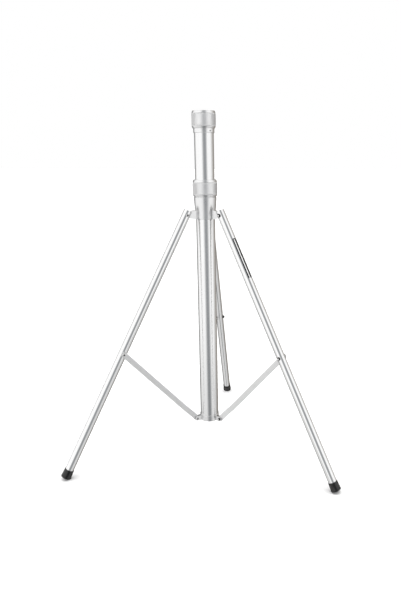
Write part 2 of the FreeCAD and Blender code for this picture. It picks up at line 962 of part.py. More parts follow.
def leg_label():
    """A blank printed strip wrapped part of the way round the right leg's upper side."""
    body = new_body("leg_label")
    inner = leg_r
    outer = leg_r + size("label_thick")
    low = zero - size("label_from") - size("label_length")
    high = zero - size("label_from")
    sketch = sketch_on(body, "XZ_Plane", "outline")
    draw_outline(sketch, [(inner, low), (outer, low), (outer, high), (inner, high)])
    wrap = body.newObject("PartDesign::Revolution", "leg_label_wrap")
    wrap.Profile = sketch
    wrap.ReferenceAxis = (sketch, ["V_Axis"])
    bind(wrap, "Angle", size("label_wrap"))
    wrap.Midplane = True
    doc.recompute()
    place = leg_place(LEGS["right"])
    # the strip faces up and back towards the front, between the leg's outer and clockwise sides
    place.Rotation = place.Rotation.multiply(Rotation(Vector(0, 0, 1), LABEL_TURN))
    keep(body, "leg_label", place)


leg_label()

# ---------------------------------------------------------------- checks and files

doc.recompute()
for item in doc.Objects:
    if "Invalid" in item.State or "Error" in item.State:
        raise RuntimeError("%s failed: %s" % (item.Name, item.State))
for piece in pieces:
    if piece.Shape.isNull() or not piece.Shape.isValid() or not piece.Shape.Solids:
        raise RuntimeError(piece.Label + " has no sound shape")

os.makedirs("parts", exist_ok=True)
for piece in pieces:
    piece.Shape.exportStep(os.path.join("parts", piece.Label + ".step"))

print("%d nodes" % len(pieces))
print("leg: %.2f mm long, sole centre %.2f mm above the floor" % (leg_length, sole_height))
print("brace: %.2f mm long at %.3f degrees" % (brace_length, math.degrees(brace_angle)))
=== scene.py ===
import json
import math

import bmesh
import bpy
from mathutils import Matrix, Quaternion, Vector


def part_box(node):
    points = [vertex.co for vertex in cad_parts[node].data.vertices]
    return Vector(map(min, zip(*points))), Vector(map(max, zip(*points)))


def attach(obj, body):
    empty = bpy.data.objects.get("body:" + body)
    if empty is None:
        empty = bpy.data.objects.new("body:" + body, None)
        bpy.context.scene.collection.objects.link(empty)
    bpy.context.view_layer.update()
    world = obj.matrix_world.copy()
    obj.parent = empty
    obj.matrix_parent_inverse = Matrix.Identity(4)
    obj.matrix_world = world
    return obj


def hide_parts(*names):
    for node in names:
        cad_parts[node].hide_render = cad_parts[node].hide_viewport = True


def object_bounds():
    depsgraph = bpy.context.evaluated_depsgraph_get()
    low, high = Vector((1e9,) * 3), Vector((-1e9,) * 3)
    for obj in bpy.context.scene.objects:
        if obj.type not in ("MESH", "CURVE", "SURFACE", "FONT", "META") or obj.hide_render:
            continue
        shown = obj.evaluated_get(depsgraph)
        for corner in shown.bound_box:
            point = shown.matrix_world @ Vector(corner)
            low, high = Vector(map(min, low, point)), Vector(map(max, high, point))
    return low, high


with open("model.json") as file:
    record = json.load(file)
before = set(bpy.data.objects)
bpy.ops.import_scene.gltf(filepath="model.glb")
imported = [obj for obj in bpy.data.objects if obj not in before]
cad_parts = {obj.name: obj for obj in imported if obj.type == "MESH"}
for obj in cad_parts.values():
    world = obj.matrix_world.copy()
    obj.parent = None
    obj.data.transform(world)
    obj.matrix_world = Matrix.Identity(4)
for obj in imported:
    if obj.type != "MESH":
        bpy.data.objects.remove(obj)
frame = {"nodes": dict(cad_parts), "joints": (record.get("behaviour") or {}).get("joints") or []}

CAD_LOW, CAD_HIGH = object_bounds()
NODES = frame["nodes"]
LEGS = ("rear", "left", "right")


# ---------------------------------------------------------------- places that the frame gives


def joint(name):
    return next(item for item in frame["joints"] if item["name"] == name)


def leg_frame(name):
    """Pivot of a leg, its direction down to the foot, its outward side, and the side its brace is on."""
    fold = joint("leg_%s_fold" % name)
    pivot = Vector(fold["pos_m"])
    side = Vector(fold["axis"]).normalized()
    outward = Vector((pivot.x, pivot.y, 0)).normalized()
    low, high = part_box("leg_brace_pin_" + name)
    crossing = (low + high) / 2
    crossing -= side * (crossing - pivot).dot(side)
    down = (crossing - pivot).normalized()
    lean = (outward - down * outward.dot(down)).normalized()
    return pivot, down, lean, side


def band(node):
    """Lowest and highest Z of a node, and the radius it reaches from the column's axis."""
    low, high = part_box(node)
    return low.z, high.z, (high.x - low.x) / 2


# ---------------------------------------------------------------- shader helpers

# the span that a noise texture's values mostly lie in
NOISE_LOW, NOISE_HIGH = 0.3, 0.7


def rgba(grey, warm=0.0):
    return (grey + warm, grey, grey - warm, 1.0)


class Nodes:
    """Short calls that add nodes to a shader's tree."""

    def __init__(self, tree):
        self.tree = tree

    def link(self, output, socket):
        self.tree.links.new(output, socket)

    def node(self, kind, settings=None, **inputs):
        """A new node. Each input is a value or an output, under its socket's name, or _N for number N."""
        made = self.tree.nodes.new(kind)
        for name, value in (settings or {}).items():
            setattr(made, name, value)
        for name, value in inputs.items():
            key = int(name[1:]) if name.startswith("_") else name.replace("_", " ")
            if hasattr(value, "is_output"):
                self.link(value, made.inputs[key])
            else:
                made.inputs[key].default_value = value
        return made

    def remap(self, value, low, high, to_low=0.0, to_high=1.0):
        made = self.node("ShaderNodeMapRange", _0=value, _1=low, _2=high, _3=to_low, _4=to_high)
        return made.outputs[0]

    def combine(self, operation, first, second):
        return self.node("ShaderNodeMath", {"operation": operation}, _0=first, _1=second).outputs[0]

    def mix(self, share, first, second, blend="MIX"):
        settings = {"data_type": "RGBA", "blend_type": blend}
        return self.node("ShaderNodeMix", settings, _0=share, _6=first, _7=second).outputs[2]


class Shader(Nodes):
    """A material of one Principled surface, with textures in metres of the object's own space."""

    def __init__(self, name, grey, metallic, roughness, **more):
        self.material = bpy.data.materials.new(name)
        self.material.use_nodes = True
        super().__init__(self.material.node_tree)
        self.tree.nodes.clear()
        output = self.tree.nodes.new("ShaderNodeOutputMaterial")
        self.surface = self.tree.nodes.new("ShaderNodeBsdfPrincipled")
        self.link(self.surface.outputs[0], output.inputs["Surface"])
        self.surface.inputs["Base Color"].default_value = rgba(grey)
        self.surface.inputs["Metallic"].default_value = metallic
        self.surface.inputs["Roughness"].default_value = roughness
        for socket, value in more.items():
            self.surface.inputs[socket.replace("_", " ")].default_value = value

    def noise(self, scale, detail=3.0, roughness=0.55, turn=(0.0, 0.0, 0.0)):
        """Noise with one scale for all ways, or with three, along axes that may be turned."""
        scales = scale if isinstance(scale, tuple) else (scale, scale, scale)
        place = self.node("ShaderNodeTexCoord").outputs["Object"]
        mapped = self.node("ShaderNodeMapping", Vector=place, Scale=scales, Rotation=turn).outputs["Vector"]
        return self.node(
            "ShaderNodeTexNoise", Vector=mapped, Scale=1.0, Detail=detail, Roughness=roughness
        ).outputs["Fac"]

    def spread(self, noise, low, high):
        """Noise carried over to values that mostly lie between low and high."""
        return self.remap(noise, NOISE_LOW, NOISE_HIGH, low, high)

    def color(self, value):
        self.link(value, self.surface.inputs["Base Color"])

    def roughness(self, value):
        self.link(value, self.surface.inputs["Roughness"])

    def bump(self, height, strength, distance):
        made = self.node("ShaderNodeBump", Height=height, Strength=strength, Distance=distance)
        self.link(made.outputs["Normal"], self.surface.inputs["Normal"])


# ---------------------------------------------------------------- materials


def drawn_tube(name, along, roughness=0.215):
    """Clear-anodised tube: fine draw lines along its length, faint cloudiness and a few scuffs."""
    grey = 0.86
    shader = Shader(name, grey, 1.0, roughness)
    turn = Vector((0, 0, 1)).rotation_difference(Vector(along)).inverted().to_euler()
    lines = shader.noise((900.0, 900.0, 5.0), 4.0, turn=turn)
    cloud = shader.noise((14.0, 14.0, 5.0), turn=turn)
    scuff = shader.noise((160.0, 160.0, 22.0), 5.0, 0.7, turn)
    worn = shader.remap(scuff, 0.66, 0.80)
    tone = shader.mix(cloud, rgba(grey - 0.035), rgba(grey + 0.03))
    shader.color(shader.mix(shader.spread(lines, 0.0, 0.10), tone, rgba(grey - 0.12)))
    drawn = shader.spread(lines, roughness - 0.035, roughness + 0.035)
    shader.roughness(shader.combine("ADD", drawn, shader.combine("MULTIPLY", worn, 0.10)))
    relief = shader.combine("SUBTRACT", lines, shader.combine("MULTIPLY", worn, 0.6))
    shader.bump(relief, 0.04, 0.00004)
    return shader.material


def turned_metal(name):
    """Lathe-turned aluminium: fine rings round the axis."""
    grey = 0.84
    shader = Shader(name, grey, 1.0, 0.24)
    rings = shader.noise((4.0, 4.0, 2400.0))
    cloud = shader.noise(30.0)
    shader.color(shader.mix(cloud, rgba(grey - 0.04), rgba(grey + 0.02)))
    shader.roughness(shader.spread(rings, 0.20, 0.32))
    shader.bump(rings, 0.10, 0.00005)
    return shader.material


def cast_metal(name):
    """Fine-blasted casting with a thin clear finish."""
    grey = 0.82
    shader = Shader(name, grey, 1.0, 0.29)
    grain = shader.noise(1500.0)
    cloud = shader.noise(45.0, 4.0)
    shader.color(shader.mix(cloud, rgba(grey - 0.05), rgba(grey + 0.02)))
    shader.roughness(shader.spread(cloud, 0.27, 0.36))
    shader.bump(grain, 0.05, 0.00004)
    return shader.material


def knurl_metal(name):
    """Knurled aluminium with painted light: the crests are painted lighter as a painted highlight and the
    grooves darker as painted shade, with random cloudy darker patches.
    """
    grey = 0.95
    shader = Shader(name, grey, 1.0, 0.46)
    cloud = shader.noise(60.0, 4.0)
    # painted light: by pointiness the crests are painted lighter (painted highlight) and the grooves darker
    # (painted shade)
    pointiness_for_painted_light = shader.node("ShaderNodeNewGeometry").outputs["Pointiness"]
    crest = shader.remap(pointiness_for_painted_light, 0.46, 0.56)
    tone = shader.mix(crest, rgba(grey - 0.12), rgba(grey + 0.04))
    shader.color(shader.mix(shader.combine("MULTIPLY", cloud, 0.25), tone, rgba(grey - 0.12)))
    shader.roughness(shader.spread(cloud, 0.42, 0.52))
    return shader.material


def bar_metal(name):
    """Matte flat bar, blasted, with faint rolling marks."""
    grey = 0.72
    shader = Shader(name, grey, 0.85, 0.48)
    grain = shader.noise(1800.0, 2.0)
    cloud = shader.noise((35.0, 35.0, 20.0), 5.0, 0.65)
    scratch = shader.noise((380.0, 380.0, 30.0), 4.0, 0.7, (0.0, 0.7, 0.4))
    shader.color(shader.mix(cloud, rgba(grey - 0.06), rgba(grey + 0.05)))
    shader.roughness(shader.remap(scratch, 0.35, 0.75, 0.44, 0.58))
    shader.bump(shader.combine("ADD", grain, shader.combine("MULTIPLY", scratch, 0.8)), 0.16, 0.00009)
    return shader.material


def rubber(name):
    """Moulded black rubber: a fine leathery skin, dusty where it has rubbed."""
    grey = 0.003
    shader = Shader(name, grey, 0.0, 0.14, Specular_IOR_Level=0.55)
    skin = shader.noise(1400.0)
    dust = shader.noise(70.0, 5.0, 0.65)
    worn = shader.remap(dust, 0.52, 0.78, 0.0, 0.5)
    shader.color(shader.mix(worn, rgba(grey), rgba(grey + 0.006, 0.001)))
    shader.roughness(shader.spread(dust, 0.10, 0.20))
    shader.bump(skin, 0.06, 0.00004)
    return shader.material


def dark_steel(name):
    """Black-oxide steel with brighter rubbed spots."""
    grey = 0.035
    shader = Shader(name, grey, 0.9, 0.34)
    grain = shader.noise(900.0)
    rubbed = shader.remap(shader.noise(260.0), 0.58, 0.75, 0.0, 0.6)
    shader.color(shader.mix(rubbed, rgba(grey), rgba(grey + 0.16)))
    shader.roughness(shader.spread(grain, 0.28, 0.42))
    shader.bump(grain, 0.12, 0.00006)
    return shader.material


def bright_steel(name):
    """Bright zinc plate, slightly clouded."""
    grey = 0.80
    shader = Shader(name, grey, 1.0, 0.25)
    cloud = shader.noise(400.0)
    shader.color(shader.mix(cloud, rgba(grey - 0.08, 0.004), rgba(grey + 0.03)))
    shader.roughness(shader.spread(cloud, 0.20, 0.32))
    shader.bump(cloud, 0.05, 0.00003)
    return shader.material


def nylon(name, grey):
    """Moulded nylon with a slight mottle."""
    shader = Shader(name, grey, 0.0, 0.45)
    mottle = shader.noise(90.0, 4.0)
    fine = shader.noise(1100.0, 2.0)
    shader.color(shader.mix(mottle, rgba(grey * 0.85), rgba(grey * 1.15)))
    shader.roughness(shader.spread(mottle, 0.40, 0.52))
    shader.bump(fine, 0.10, 0.00005)
    return shader.material


def film(name, grey, roughness):
    """Printed film: smooth, with a faint orange peel."""
    shader = Shader(name, grey, 0.0, roughness, Specular_IOR_Level=0.3)
    peel = shader.noise(420.0, 2.0)
    wear = shader.noise(120.0, 5.0, 0.7)
    worn = shader.remap(wear, 0.5, 0.8, 0.0, 0.5)
    shader.color(shader.mix(worn, rgba(grey), rgba(grey * 0.8 + 0.02)))
    shader.roughness(shader.spread(wear, roughness - 0.04, roughness + 0.08))
    shader.bump(peel, 0.06, 0.00005)
    return shader.material


def floor_material():
    shader = Shader("floor_pale", 0.9, 0.0, 0.8)
    shader.color(shader.mix(shader.noise(3.0, 2.0), rgba(0.895), rgba(0.905)))
    return shader.material


LEG_ROUGHNESS = 0.13

COLUMN_TUBE = drawn_tube("column_anodised", (0, 0, 1))
MAST_TUBE = drawn_tube("mast_anodised", (0, 0, 1))
TURNED = turned_metal("turned_aluminium")
CAST = cast_metal("cast_aluminium")
KNURL = knurl_metal("knurled_aluminium")
BAR = bar_metal("brace_bar")
RUBBER = rubber("black_rubber")
STEEL = dark_steel("black_steel")
ZINC = bright_steel("zinc_steel")
NYLON_DARK = nylon("dark_nylon", 0.03)
NYLON_PALE = nylon("pale_nylon", 0.55)
LABEL_DARK = film("label_dark", 0.006, 0.22)
LABEL_PALE = film("label_pale", 0.75, 0.35)


# ---------------------------------------------------------------- mesh helpers


def new_piece(name, mesh_data, body, materials):
    """Turn a bmesh into a piece that rides on a body."""
    mesh = bpy.data.meshes.new(name)
    bmesh.ops.recalc_face_normals(mesh_data, faces=mesh_data.faces)
    mesh_data.to_mesh(mesh)
    mesh_data.free()
    for material in materials:
        mesh.materials.append(material)
    piece = bpy.data.objects.new(name, mesh)
    bpy.context.scene.collection.objects.link(piece)
    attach(piece, body)
    return piece


def smooth_by_angle(piece, degrees):
    """Smooth shading, but for the edges sharper than an angle."""
    for face in piece.data.polygons:
        face.use_smooth = True
    piece.data.set_sharp_from_angle(angle=math.radians(degrees))


def rounded(points, radius, steps=3):
    """The corners of an open outline, each eased by a small round of the given radius."""
    most = 0.45  # share of a side that one corner's round may take
    eased_points = [points[0]]
    for before, corner, after in zip(points, points[1:], points[2:]):
        a, b, c = Vector(before), Vector(corner), Vector(after)
        cut = min(radius, (a - b).length * most, (c - b).length * most)
        start = b + (a - b).normalized() * cut
        end = b + (c - b).normalized() * cut
        for step in range(steps + 1):
            t = step / steps
            point = start * (1 - t) ** 2 + b * 2 * t * (1 - t) + end * t * t
            eased_points.append((point.x, point.y))
    eased_points.append(points[-1])
    return eased_points


def frame_at(origin, up, across=None):
    """A matrix whose Z runs along up from the origin, and whose X runs across it."""
    across = across or up.orthogonal().normalized()
    made = Matrix((across, up.cross(across), up)).transposed().to_4x4()
    made.translation = origin
    return made


def radius_at(radius, angle):
    """A ring's radius at an angle. It is given as a number, or as a function of the angle."""
    return radius(angle) if callable(radius) else radius


def ring_stack(rings, steps, place, through=False):
    """A closed skin over rings, each a radius, a height and the material of the band that starts there.

    Both ends are capped, or where a bore goes through, the last ring is joined to the first.
    """
    made = bmesh.new()
    loops = []
    for radius, height, _ in rings:
        loop = []
        for step in range(steps):
            angle = 2 * math.pi * step / steps
            r = radius_at(radius, angle)
            loop.append(made.verts.new(place @ Vector((r * math.cos(angle), r * math.sin(angle), height))))
        loops.append(loop)
    bands = list(zip(loops, loops[1:] + loops[:1], rings))
    for first, second, (_, _, material) in bands if through else bands[:-1]:
        for step in range(steps):
            after = (step + 1) % steps
            face = made.faces.new((first[step], first[after], second[after], second[step]))
            face.material_index = material
    if not through:
        made.faces.new(list(reversed(loops[0]))).material_index = rings[0][2]
        made.faces.new(loops[-1]).material_index = rings[-1][2]
    return made


# ---------------------------------------------------------------- knurled hand nuts

SMOOTH, KNURLED = 0, 1  # a nut's material slots
NUT_PLAIN_BAND = 0.0070
NUT_CHAMFER = 0.0024
NUT_WALL = 0.0042
NUT_MOUTH_DEPTH = 0.0060
NUT_MOUTH_CHAMFER = 0.0006
NUT_GROOVE = 0.0004
NUT_EDGE = 0.0005
NUT_SHARP_DEGREES = 28
KNURL_MARGIN = 0.0007
KNURL_TEETH = 88
KNURL_DEPTH = 0.44  # share of the pitch
TUBE_CLEARANCE = 0.0004


def hand_nut(node, body, tube):
    """A clamp nut: plain chamfered bands at both ends and a cut diamond knurl between them."""
    low, high, radius = band(node)
    height = high - low
    bore = radius - NUT_WALL
    mouth_radius = band(tube)[2] + TUBE_CLEARANCE
    chamfered = radius - NUT_CHAMFER
    shoulder = radius - NUT_GROOVE * 0.5
    neck = radius - NUT_GROOVE * 2.2
    foot = [
        (bore, 0.0),
        (chamfered - 0.0022, 0.0),
        (chamfered - 0.0018, 0.0009),
        (chamfered, 0.0009),
        (shoulder, NUT_PLAIN_BAND),
        (neck, NUT_PLAIN_BAND + NUT_GROOVE),
    ]
    mouth = [
        (neck, height - NUT_PLAIN_BAND - NUT_GROOVE),
        (shoulder, height - NUT_PLAIN_BAND),
        (chamfered, height),
        (mouth_radius + NUT_MOUTH_CHAMFER, height),
        (mouth_radius, height - NUT_MOUTH_CHAMFER),
        (mouth_radius, height - NUT_MOUTH_DEPTH),
        (bore, height - NUT_MOUTH_DEPTH),
    ]

    steps = KNURL_TEETH * 2
    pitch = 2 * math.pi * radius / KNURL_TEETH
    knurl_low = NUT_PLAIN_BAND + KNURL_MARGIN
    knurl_high = height - NUT_PLAIN_BAND - KNURL_MARGIN
    rows = max(2, round((knurl_high - knurl_low) / (pitch / 2)))

    def knurl_row(row):
        """Crests and hollows by turns, offset from row to row. The end rows are hollow all round."""

        def row_radius(angle):
            step = round(angle / (2 * math.pi) * steps)
            crest = (step + row) % 2 == 0 and row not in (0, rows)
            return radius if crest else radius - pitch * KNURL_DEPTH

        return row_radius

    rings = [(r, z, SMOOTH) for r, z in rounded(foot, NUT_EDGE)]
    for row in range(rows + 1):
        z = knurl_low + (knurl_high - knurl_low) * row / rows
        rings.append((knurl_row(row), z, KNURLED if row < rows else SMOOTH))
    rings += [(r, z, SMOOTH) for r, z in rounded(mouth, NUT_EDGE)]
    made = ring_stack(rings, steps, Matrix.Translation((0, 0, low)), through=True)
    piece = new_piece(node + "_knurled", made, body, [TURNED, KNURL])
    for face in piece.data.polygons:
        face.use_smooth = face.material_index == SMOOTH
    piece.data.set_sharp_from_angle(angle=math.radians(NUT_SHARP_DEGREES))
    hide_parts(node)


hand_nut("top_lock_nut", "top_nut", "mast_tube")
hand_nut("hub_lock_nut", "hub_nut", "column_tube")


# ---------------------------------------------------------------- rubber feet

LEG_TUBE_RADIUS = 0.0125
FOOT_SOLE_RADIUS = 0.0154
FOOT_TOP_RADIUS = 0.0141
FOOT_HEIGHT = 0.0270
FOOT_STEPS = 96


def foot_wall(z):
    """Outer radius of a foot's tapered wall at a height above the sole."""
    share = (z - 0.002) / (FOOT_HEIGHT - 0.003)
    return FOOT_SOLE_RADIUS + (FOOT_TOP_RADIUS - FOOT_SOLE_RADIUS) * share


FOOT_PROFILE = (
    # the sole, hollow in its middle, and its round edge
    (FOOT_SOLE_RADIUS - 0.0052, 0.0006),
    (FOOT_SOLE_RADIUS - 0.0046, 0.0),
    (FOOT_SOLE_RADIUS - 0.0020, 0.0),
    (FOOT_SOLE_RADIUS - 0.0009, 0.0003),
    (FOOT_SOLE_RADIUS - 0.0003, 0.0009),
    (FOOT_SOLE_RADIUS, 0.0020),
    # the wall, sunk a little between two steps
    (foot_wall(0.0046), 0.0046),
    (foot_wall(0.0050) - 0.0004, 0.0050),
    (foot_wall(0.0210) - 0.0003, 0.0236),
    (foot_wall(0.0240), 0.0240),
    # the rolled upper rim
    (FOOT_TOP_RADIUS + 0.0001, FOOT_HEIGHT - 0.0018),
    (FOOT_TOP_RADIUS - 0.0002, FOOT_HEIGHT - 0.0005),
    (FOOT_TOP_RADIUS - 0.0008, FOOT_HEIGHT),
    # the socket that the leg tube stands in
    (LEG_TUBE_RADIUS + 0.00025, FOOT_HEIGHT - 0.0001),
    (LEG_TUBE_RADIUS + 0.00005, FOOT_HEIGHT - 0.0008),
    (LEG_TUBE_RADIUS + 0.00002, 0.0052),
)


def rubber_foot(name):
    """A tip with a stepped sole, a tapered wall and a rolled upper rim."""
    pivot, down, lean, _ = leg_frame(name)
    node = "foot_" + name
    # the sole's centre is where the leg's axis leaves the foot
    reach = max((vertex.co - pivot).dot(down) for vertex in NODES[node].data.vertices)
    place = frame_at(pivot + down * reach, -down, lean)
    made = ring_stack([(radius, z, 0) for radius, z in FOOT_PROFILE], FOOT_STEPS, place)
    # the sole is worn flat where it stands on the floor
    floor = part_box(node)[0].z
    for vertex in made.verts:
        vertex.co.z = max(vertex.co.z, floor)
    piece = new_piece("foot_%s_fluted" % name, made, "leg_" + name, [RUBBER])
    smooth_by_angle(piece, 30.0)
    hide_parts(node)


for leg in LEGS:
    rubber_foot(leg)


# ---------------------------------------------------------------- blank label

FIELD, STRIPE = 0, 1  # the label's material slots
LABEL_THICKNESS = 0.0003
LABEL_CORNER = 0.0022
LABEL_COLUMNS = 44
LABEL_ROWS = 40
# the stripe, with the label running from -1 to 1 both round the leg (u) and along it (v)
STRIPE_MIDDLE_U = 0.26
STRIPE_HALF_U = 0.22
STRIPE_START_V = -0.93


def blank_label():
    """A film wrapped round the leg: a dark field with one plain pale stripe along it."""
    pivot, down, _, _ = leg_frame("right")
    mesh = NODES["leg_label"].data
    along = [(vertex.co - pivot).dot(down) for vertex in mesh.vertices]
    start, end = min(along), max(along)
    across = [vertex.co - pivot - down * (vertex.co - pivot).dot(down) for vertex in mesh.vertices]
    middle = sum(across, Vector()).normalized()
    half = max(math.acos(max(-1.0, min(1.0, point.normalized().dot(middle)))) for point in across)
    outer = max(point.length for point in across)
    inner = outer - LABEL_THICKNESS
    turn_side = down.cross(middle)
    length = (end - start) / 2
    width = outer * half

    def film_point(radius, u, v):
        """A place on the film at u and v, with the corners rounded."""
        x, y = u * width, v * length
        over_x = abs(x) - (width - LABEL_CORNER)
        over_y = abs(y) - (length - LABEL_CORNER)
        if over_x > 0 and over_y > 0:
            # the square corner is drawn in onto its round
            reach = math.hypot(over_x, over_y)
            most = max(over_x, over_y)
            x = math.copysign(width - LABEL_CORNER + over_x * most / reach, x)
            y = math.copysign(length - LABEL_CORNER + over_y * most / reach, y)
        angle = x / outer
        around = middle * math.cos(angle) + turn_side * math.sin(angle)
        return pivot + down * ((start + end) / 2 + y) + around * radius

    made = bmesh.new()
    outside, inside = (
        [
            [
                made.verts.new(film_point(radius, 2 * i / LABEL_COLUMNS - 1, 2 * j / LABEL_ROWS - 1))
                for j in range(LABEL_ROWS + 1)
            ]
            for i in range(LABEL_COLUMNS + 1)
        ]
        for radius in (outer, inner)
    )
    for i in range(LABEL_COLUMNS):
        u = 2 * (i + 0.5) / LABEL_COLUMNS - 1
        for j in range(LABEL_ROWS):
            v = 2 * (j + 0.5) / LABEL_ROWS - 1
            striped = abs(u - STRIPE_MIDDLE_U) < STRIPE_HALF_U and v > STRIPE_START_V
            for grid, material in ((outside, STRIPE if striped else FIELD), (inside, FIELD)):
                face = made.faces.new((grid[i][j], grid[i + 1][j], grid[i + 1][j + 1], grid[i][j + 1]))
                face.material_index = material
    rim = [(i, 0) for i in range(LABEL_COLUMNS)]
    rim += [(LABEL_COLUMNS, j) for j in range(LABEL_ROWS)]
    rim += [(i, LABEL_ROWS) for i in range(LABEL_COLUMNS, 0, -1)]
    rim += [(0, j) for j in range(LABEL_ROWS, 0, -1)]
    for (i, j), (k, m) in zip(rim, rim[1:] + rim[:1]):
        made.faces.new((outside[i][j], outside[k][m], inside[k][m], inside[i][j]))
    piece = new_piece("leg_label_film", made, "leg_right", [LABEL_DARK, LABEL_PALE])
    smooth_by_angle(piece, 40.0)
    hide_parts("leg_label")


blank_label()


# ---------------------------------------------------------------- fasteners

OUTER, INNER = 0, 1  # a fastener's material slots: its steel, and its socket or nylon ring
FASTENER_STEPS = 48
WELD_DISTANCE = 1e-6
END_TOLERANCE = 1e-4


def loose_parts(node):
    """The separate solids of a node, each as a list of its points, in the order of the mesh."""
    made = bmesh.new()
    made.from_mesh(NODES[node].data)
    bmesh.ops.remove_doubles(made, verts=made.verts, dist=WELD_DISTANCE)
    found = set()
    parts = []
    for start in made.verts:
        if start in found:
            continue
        found.add(start)
        part = [start]
        for vertex in part:  # the list grows as its neighbours are found
            for edge in vertex.link_edges:
                other = edge.other_vert(vertex)
                if other not in found:
                    found.add(other)
                    part.append(other)
        parts.append([vertex.co.copy() for vertex in part])
    made.free()
    return parts


def along_axis(points, axis):
    """Where a turned part lies: its axis line, and the radii and places of its points along it."""
    flat = [point - axis * point.dot(axis) for point in points]
    first = axis.orthogonal().normalized()
    middle = Vector()
    for way in (first, axis.cross(first)):
        reach = [point.dot(way) for point in flat]
        middle += way * (min(reach) + max(reach)) / 2
    return middle, [((point - middle).length, full.dot(axis)) for point, full in zip(flat, points)]


def hexagon(across_flats):
    """Radius of a hexagon, as a function of the angle."""

    def radius(angle):
        turn = (angle % (math.pi / 3)) - math.pi / 6
        return across_flats / 2 / math.cos(turn)

    return radius


def between(first, second, share):
    """A radius that is a share of the way from one to another."""

    def radius(angle):
        a, b = radius_at(first, angle), radius_at(second, angle)
        return a + (b - a) * share

    return radius


def smaller(first, second):
    """The smaller of two radii at each angle."""
    return lambda angle: min(radius_at(first, angle), radius_at(second, angle))


def socket_bolt(points, axis):
    """A button-headed bolt with a hexagon socket, fitted to the bolt's own length, head and shank."""
    middle, reach = along_axis(points, axis)
    head_radius = max(radius for radius, _ in reach)

    def ends(radius_over):
        places = [place for radius, place in reach if radius > radius_over]
        return min(places), max(places)

    if sum(ends(head_radius * 0.97)) > sum(ends(-1.0)):
        up = axis
    else:
        # the head is at the axis's low end, so the bolt is measured the other way round
        up = -axis
        reach = [(radius, -place) for radius, place in reach]
    seat = ends(head_radius * 0.97)[0]
    tail, top = ends(-1.0)
    shank_radius = max(radius for radius, place in reach if abs(place - tail) < END_TOLERANCE)
    shank = tail - seat
    height = top - seat
    socket = hexagon(head_radius * 1.10)
    rings = [
        # the shank, chamfered at its end
        (shank_radius * 0.82, shank, OUTER),
        (shank_radius, shank + shank_radius * 0.18, OUTER),
        (shank_radius, 0.0, OUTER),
        # the domed head
        (head_radius * 0.97, 0.0, OUTER),
        (head_radius, height * 0.08, OUTER),
        (head_radius, height * 0.26, OUTER),
        (head_radius * 0.97, height * 0.46, OUTER),
        (head_radius * 0.90, height * 0.68, OUTER),
        (head_radius * 0.79, height * 0.86, OUTER),
        (head_radius * 0.70, height * 0.95, OUTER),
        (head_radius * 0.66, height, OUTER),
        # the socket, in the second slot; in a zinc bolt it takes dark steel as painted shade in the recess
        (between(socket, head_radius * 0.66, 0.15), height, INNER),
        (socket, height * 0.93, INNER),
        (socket, height * 0.42, INNER),
        (between(socket, 0.0, 0.55), height * 0.36, INNER),
    ]
    return ring_stack(rings, FASTENER_STEPS, frame_at(middle + up * seat, up))


def lock_nut(points, axis):
    """A hexagon nut with chamfered corners and a rolled collar that holds its nylon ring."""
    middle, reach = along_axis(points, axis)
    flats = max(radius for radius, _ in reach) * math.sqrt(3)
    low, high = min(place for _, place in reach), max(place for _, place in reach)
    # the collar is on the side away from the middle of the joint, where the places are 0
    inward = abs(high) < abs(low)
    up = -axis if inward else axis
    base = -high if inward else low
    height = high - low
    sides = hexagon(flats)
    rings = [
        # the hexagon, its corners chamfered at both ends
        (flats * 0.47, 0.0, OUTER),
        (smaller(sides, flats / 2 * 1.05), 0.0, OUTER),
        (sides, height * 0.07, OUTER),
        (sides, height * 0.58, OUTER),
        (smaller(sides, flats / 2 * 1.03), height * 0.66, OUTER),
        # the collar
        (flats * 0.46, height * 0.69, OUTER),
        (flats * 0.45, height * 0.88, OUTER),
        (flats * 0.42, height * 0.97, OUTER),
        (flats * 0.36, height, OUTER),
        # the nylon ring, and the end of the bolt in it
        (flats * 0.34, height * 0.97, INNER),
        (flats * 0.29, height * 0.95, INNER),
        (flats * 0.28, height * 0.98, OUTER),
        (flats * 0.25, height, OUTER),
    ]
    return ring_stack(rings, FASTENER_STEPS, frame_at(middle + up * base, up))


def fit_fasteners(node, body, shape, materials, axes):
    """Replace every solid of a fastener node by a detailed one on the nearest of the axes."""
    for index, points in enumerate(loose_parts(node)):
        centre = sum(points, Vector()) / len(points)
        axis = min(axes, key=lambda item: (item[0] - centre).length)[1]
        name = "%s_detail_%d" % (node, index)
        piece = new_piece(name, shape(points, axis), body, materials)
        smooth_by_angle(piece, 40.0)
        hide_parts(node)


def fit_all_fasteners():
    # zinc bolts get their sockets in dark steel, which is painted shade in the recess; the nuts are dark
    # steel with dark nylon rings
    bright, dark = [ZINC, STEEL], [STEEL, NYLON_DARK]
    lugs = []
    for name in LEGS:
        hinge = joint("brace_%s_fold" % name)
        lugs.append((Vector(hinge["pos_m"]), Vector(hinge["axis"]).normalized()))
    fit_fasteners("lower_pivot_bolts", "column", socket_bolt, bright, lugs)
    fit_fasteners("lower_pivot_nuts", "column", lock_nut, dark, lugs)
    for name in LEGS:
        pivot, _, _, side = leg_frame(name)
        line = [(pivot, side)]
        fit_fasteners("leg_hinge_bolt_" + name, "leg_" + name, socket_bolt, bright, line)
        fit_fasteners("leg_hinge_nut_" + name, "leg_" + name, lock_nut, dark, line)
        fit_fasteners("leg_brace_nut_" + name, "leg_" + name, lock_nut, dark, line)
        fit_fasteners("brace_bolt_" + name, "brace_%s_arm" % name, socket_bolt, bright, line)


fit_all_fasteners()


# ---------------------------------------------------------------- machined parts with eased edges

EASE_WELD_DISTANCE = 2e-6
FLAT_DEGREES = 1.0
EASE_OVER_DEGREES = 30.0
FLAT_FACE_WEIGHT = 90


